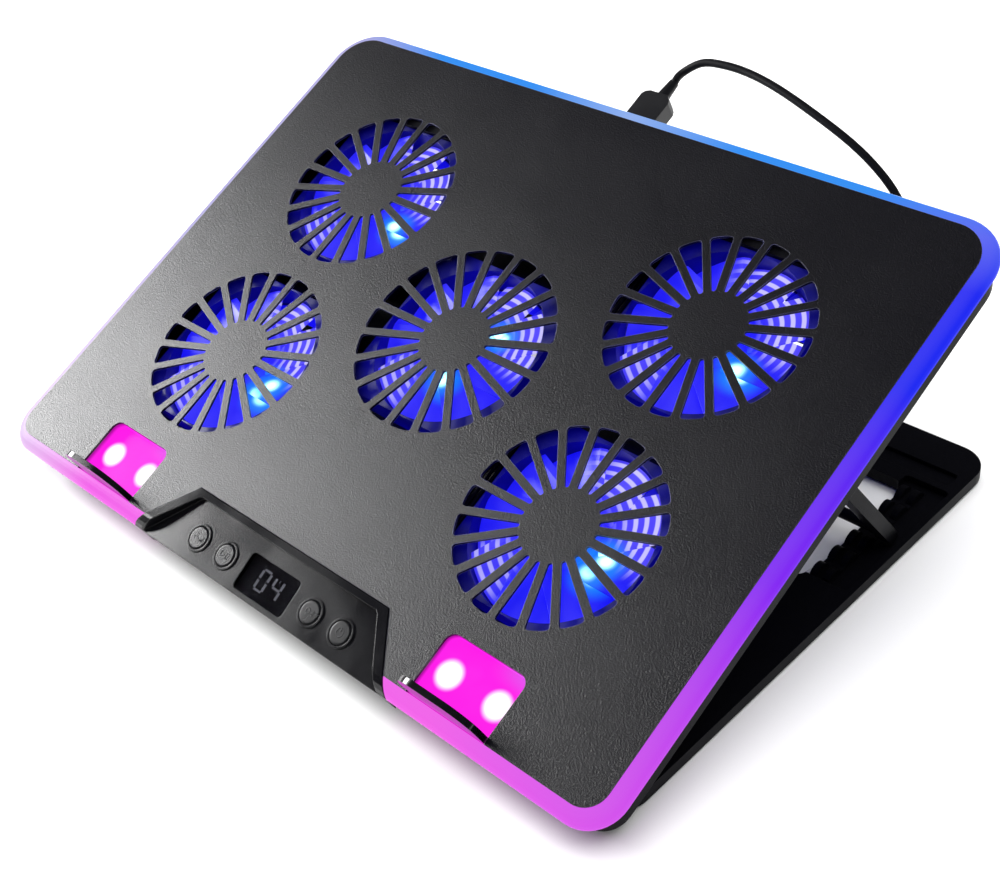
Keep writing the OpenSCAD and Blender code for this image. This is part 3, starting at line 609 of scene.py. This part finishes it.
def rotor_look(number, lamps):
    """Blue translucent plastic, lit from inside, with a hot spot where each lamp shines through the blades, and
    painted highlights where the light streaks over them.
    """
    look = Look(f"rotor_glow_{number}", (0.01, 0.01, 0.12), 0.35, Specular_IOR_Level=0.3)
    look.soften_edges(0.0004)
    where = look.deck_place()
    offset = look.add("ShaderNodeVectorMath", operation="SUBTRACT")
    look.feed(offset.inputs[0], where)
    offset.inputs[1].default_value = FANS[number - 1]
    split = look.add("ShaderNodeSeparateXYZ")
    look.feed(split.inputs[0], offset.outputs[0])
    x, y = split.outputs["X"], split.outputs["Y"]
    out = look.math("SQRT", look.math("ADD", look.math("MULTIPLY", x, x), look.math("MULTIPLY", y, y)))
    turn = look.math("ARCTAN2", y, x)
    # Blue that is deeper towards the rim and changes a little from blade to blade
    shade = look.mix(look.span(out, 0.014, 0.037), linear(38, 34, 255), linear(16, 14, 235))
    shade = look.mix(look.span(look.noise(38, 2), 0.3, 0.75, 0.0, 0.5), shade, linear(70, 60, 250))
    # Painted highlight: a pale sheen and pale arcs where the light streaks over the blades, at the back right and
    # fainter opposite.
    arc_gap = 0.0044
    rings = look.math("SINE", look.math("MULTIPLY", out, 2 * math.pi / arc_gap))
    arcs = look.span(rings, -0.1, 0.6)
    right = look.math("MULTIPLY", look.span(turn, -0.2, 0.2), look.span(turn, 1.5, 2.0, 1.0, 0.0))
    left = look.math("MULTIPLY", look.span(turn, -2.75, -2.45), look.span(turn, -2.1, -1.8, 1.0, 0.0))
    sector = look.math("MAXIMUM", right, look.math("MULTIPLY", left, 0.7))
    band = look.math("MULTIPLY", look.span(out, 0.016, 0.028), sector)
    shade = look.mix(look.math("MULTIPLY", band, 0.35), shade, linear(120, 104, 250))
    streaks = look.math("MULTIPLY", look.math("MULTIPLY", arcs, band), 0.8)
    shade = look.mix(streaks, shade, linear(222, 216, 255))
    strength = 0.95
    for lamp_x, lamp_y in lamps:
        dx = look.math("SUBTRACT", x, lamp_x)
        dy = look.math("SUBTRACT", y, lamp_y)
        away = look.math("SQRT", look.math("ADD", look.math("MULTIPLY", dx, dx), look.math("MULTIPLY", dy, dy)))
        shade = look.mix(look.span(away, 0.0035, 0.012, 1.0, 0.0), shade, linear(30, 130, 255))
        shade = look.mix(look.span(away, 0.0015, 0.0055, 1.0, 0.0), shade, linear(170, 250, 255))
        strength = look.math("ADD", strength, look.span(away, 0.001, 0.005, 1.6, 0.0))
    look.glow(shade, strength)
    return look


def inside_fan(look, near, far, top):
    """Painted light: the fans' blue glow painted onto what lies near a fan's bore, up to a top height: near under
    the blades, far round them.
    """
    out, height = look.fan_offset(FANS)
    under = look.span(out, *BORE_RIM, 1.0, 0.0)
    wall = look.span(out, 0.039, 0.051, 1.0, 0.0)
    above_floor = look.span(height, 0.0080, 0.0092)
    inside = look.math("MULTIPLY", above_floor, look.span(height, top - 0.0006, top, 1.0, 0.0))
    streaks = look.span(look.noise(45, 3), 0.35, 0.7, 0.6, 1.3)
    shade = look.mix(under, look.mix(wall, BLACK, far), near)
    look.glow(shade, look.math("MULTIPLY", look.math("MULTIPLY", inside, 0.9), streaks))


# Where the lamps show through each fan's blades, from the fan's axis
LAMP_SPOTS = {
    1: [(0.022, -0.011), (0.0245, -0.0045)],
    2: [(0.022, -0.010)],
    3: [(0.004, -0.0165), (0.013, 0.012)],
    4: [(0.019, -0.0105)],
    5: [(0.019, -0.0085), (0.021, -0.0015)],
}
# Base colours of the black plastics, as linear light
DEEP_BLACK = (0.002, 0.002, 0.003)
SOFT_BLACK = (0.003, 0.003, 0.004)
# Painted light: the blue of the fans' glow, painted on the shell and the housings near each bore.
PAINTED_FAN_GLOW = linear(22, 18, 235)
# How high the fans' light reaches on the lower shell and on the housings, above the table when shut
SHELL_GLOW_TOP = 0.0125
HOUSING_GLOW_TOP = 0.0250


def add_lit_materials():
    """The panel, and all that glows or is lit by the lamps."""
    panel_look().dress("top_panel")
    ring_look().dress("light_ring")
    pocket_look(-1).dress("led_window_left")
    pocket_look(1).dress("led_window_right")
    for number, spots in LAMP_SPOTS.items():
        rotor_look(number, spots).dress(f"rotor_{number}")
    shell = moulded("shell_black", DEEP_BLACK, 0.45, IOR=1.16)
    # Painted light: the fans' blue glow on the lower shell and the housings, bright under the blades and dim round
    # them.
    inside_fan(shell, PAINTED_FAN_GLOW, linear(4, 3, 40), SHELL_GLOW_TOP)
    shell.dress("lower_shell")
    housing = moulded("fan_housing", (0.003, 0.003, 0.02), 0.4)
    inside_fan(housing, PAINTED_FAN_GLOW, linear(10, 6, 118), HOUSING_GLOW_TOP)
    housing.dress(*[f"fan_frame_{i}" for i in range(1, 6)])
    lamp = Look("fan_lamp", (0.05, 0.2, 0.6), 0.3)
    lamp.glow(lamp.mix(lamp.noise(900, 2), linear(20, 40, 255), linear(40, 90, 255)), 1.2)
    lamp.dress("fan_leds")
    lens = Look("display_lens", (0.25, 0.25, 0.28), 0.03, Transmission_Weight=1.0, IOR=1.05)
    lens.rough(lens.span(lens.noise(400, 2), 0.4, 0.7, 0.02, 0.05))
    lens.dress("display_window")
    figures = Look("display_figures", (0.05, 0.05, 0.05), 0.4)
    figures.glow(figures.mix(figures.noise(700, 1), (0.8, 0.82, 0.9, 1), (1, 1, 1, 1)), 0.5)
    figures.dress("display_digits")


def add_plain_materials(lead, marks):
    """Plastics, rubber, paint, steel and boards."""
    moulded("base_black", DEEP_BLACK, 0.5, IOR=1.16).dress("base_frame", "rack_left", "rack_right")
    moulded("foot_rubber", (0.006, 0.006, 0.006), 0.75, grain=0.001).dress("rubber_feet")
    moulded("console_black", SOFT_BLACK, 0.2, edge=0.0006, IOR=1.4).dress("console_bezel")
    buttons = moulded("button_black", SOFT_BLACK, 0.24, edge=0.0005)
    buttons.dress("button_1", "button_2", "button_3", "button_4")
    stop = moulded("stop_gloss", DEEP_BLACK, 0.12, grain=0.004, depth=0.00001)
    stop.dress("stop_left", "stop_right")
    steel = moulded("plated_steel", (0.5, 0.5, 0.52), 0.3, grain=0.0008, depth=0.00001, Metallic=1.0)
    steel.dress("hinge_pins", "stop_pins", "prop_pins", "case_screws", "console_screws", "fan_screws",
                "tact_switches", "usb_sockets", "usb_plug_shell", "end_plug_shell")
    moulded("prop_paint", DEEP_BLACK, 0.38, grain=0.0008, IOR=1.16).dress("prop_frame")
    board = moulded("circuit_board", (0.02, 0.10, 0.04), 0.35, grain=0.002, depth=0.00002)
    board.dress("control_board", "usb_board")
    moulded("lamp_board", (0.6, 0.6, 0.58), 0.4, grain=0.002).dress("ring_led_strips", "window_led_boards")
    moulded("display_block", (0.008, 0.008, 0.009), 0.5).dress("display_module")
    moulded("wire_cover", (0.004, 0.003, 0.012), 0.5).dress("wire_loom")
    grip = moulded("plug_grip", (0.004, 0.004, 0.005), 0.42, grain=0.0007, depth=0.00006)
    grip.dress("usb_plug_body", "end_plug_body")
    moulded("cord_jacket", SOFT_BLACK, 0.45, grain=0.0009).dress("strain_relief")
    moulded("tie_weave", (0.008, 0.008, 0.009), 0.8, grain=0.0005, depth=0.0001).dress("cord_tie")
    moulded("mark_black", (0.012, 0.012, 0.014), 0.3, edge=0).dress(*marks)
    moulded("lead_jacket", SOFT_BLACK, 0.42, grain=0.0009, Specular_IOR_Level=0.35).dress(lead)


add_camera()
lead = add_lead()
add_stage()
marks = add_button_marks()
add_lit_materials()
add_plain_materials(lead, marks)
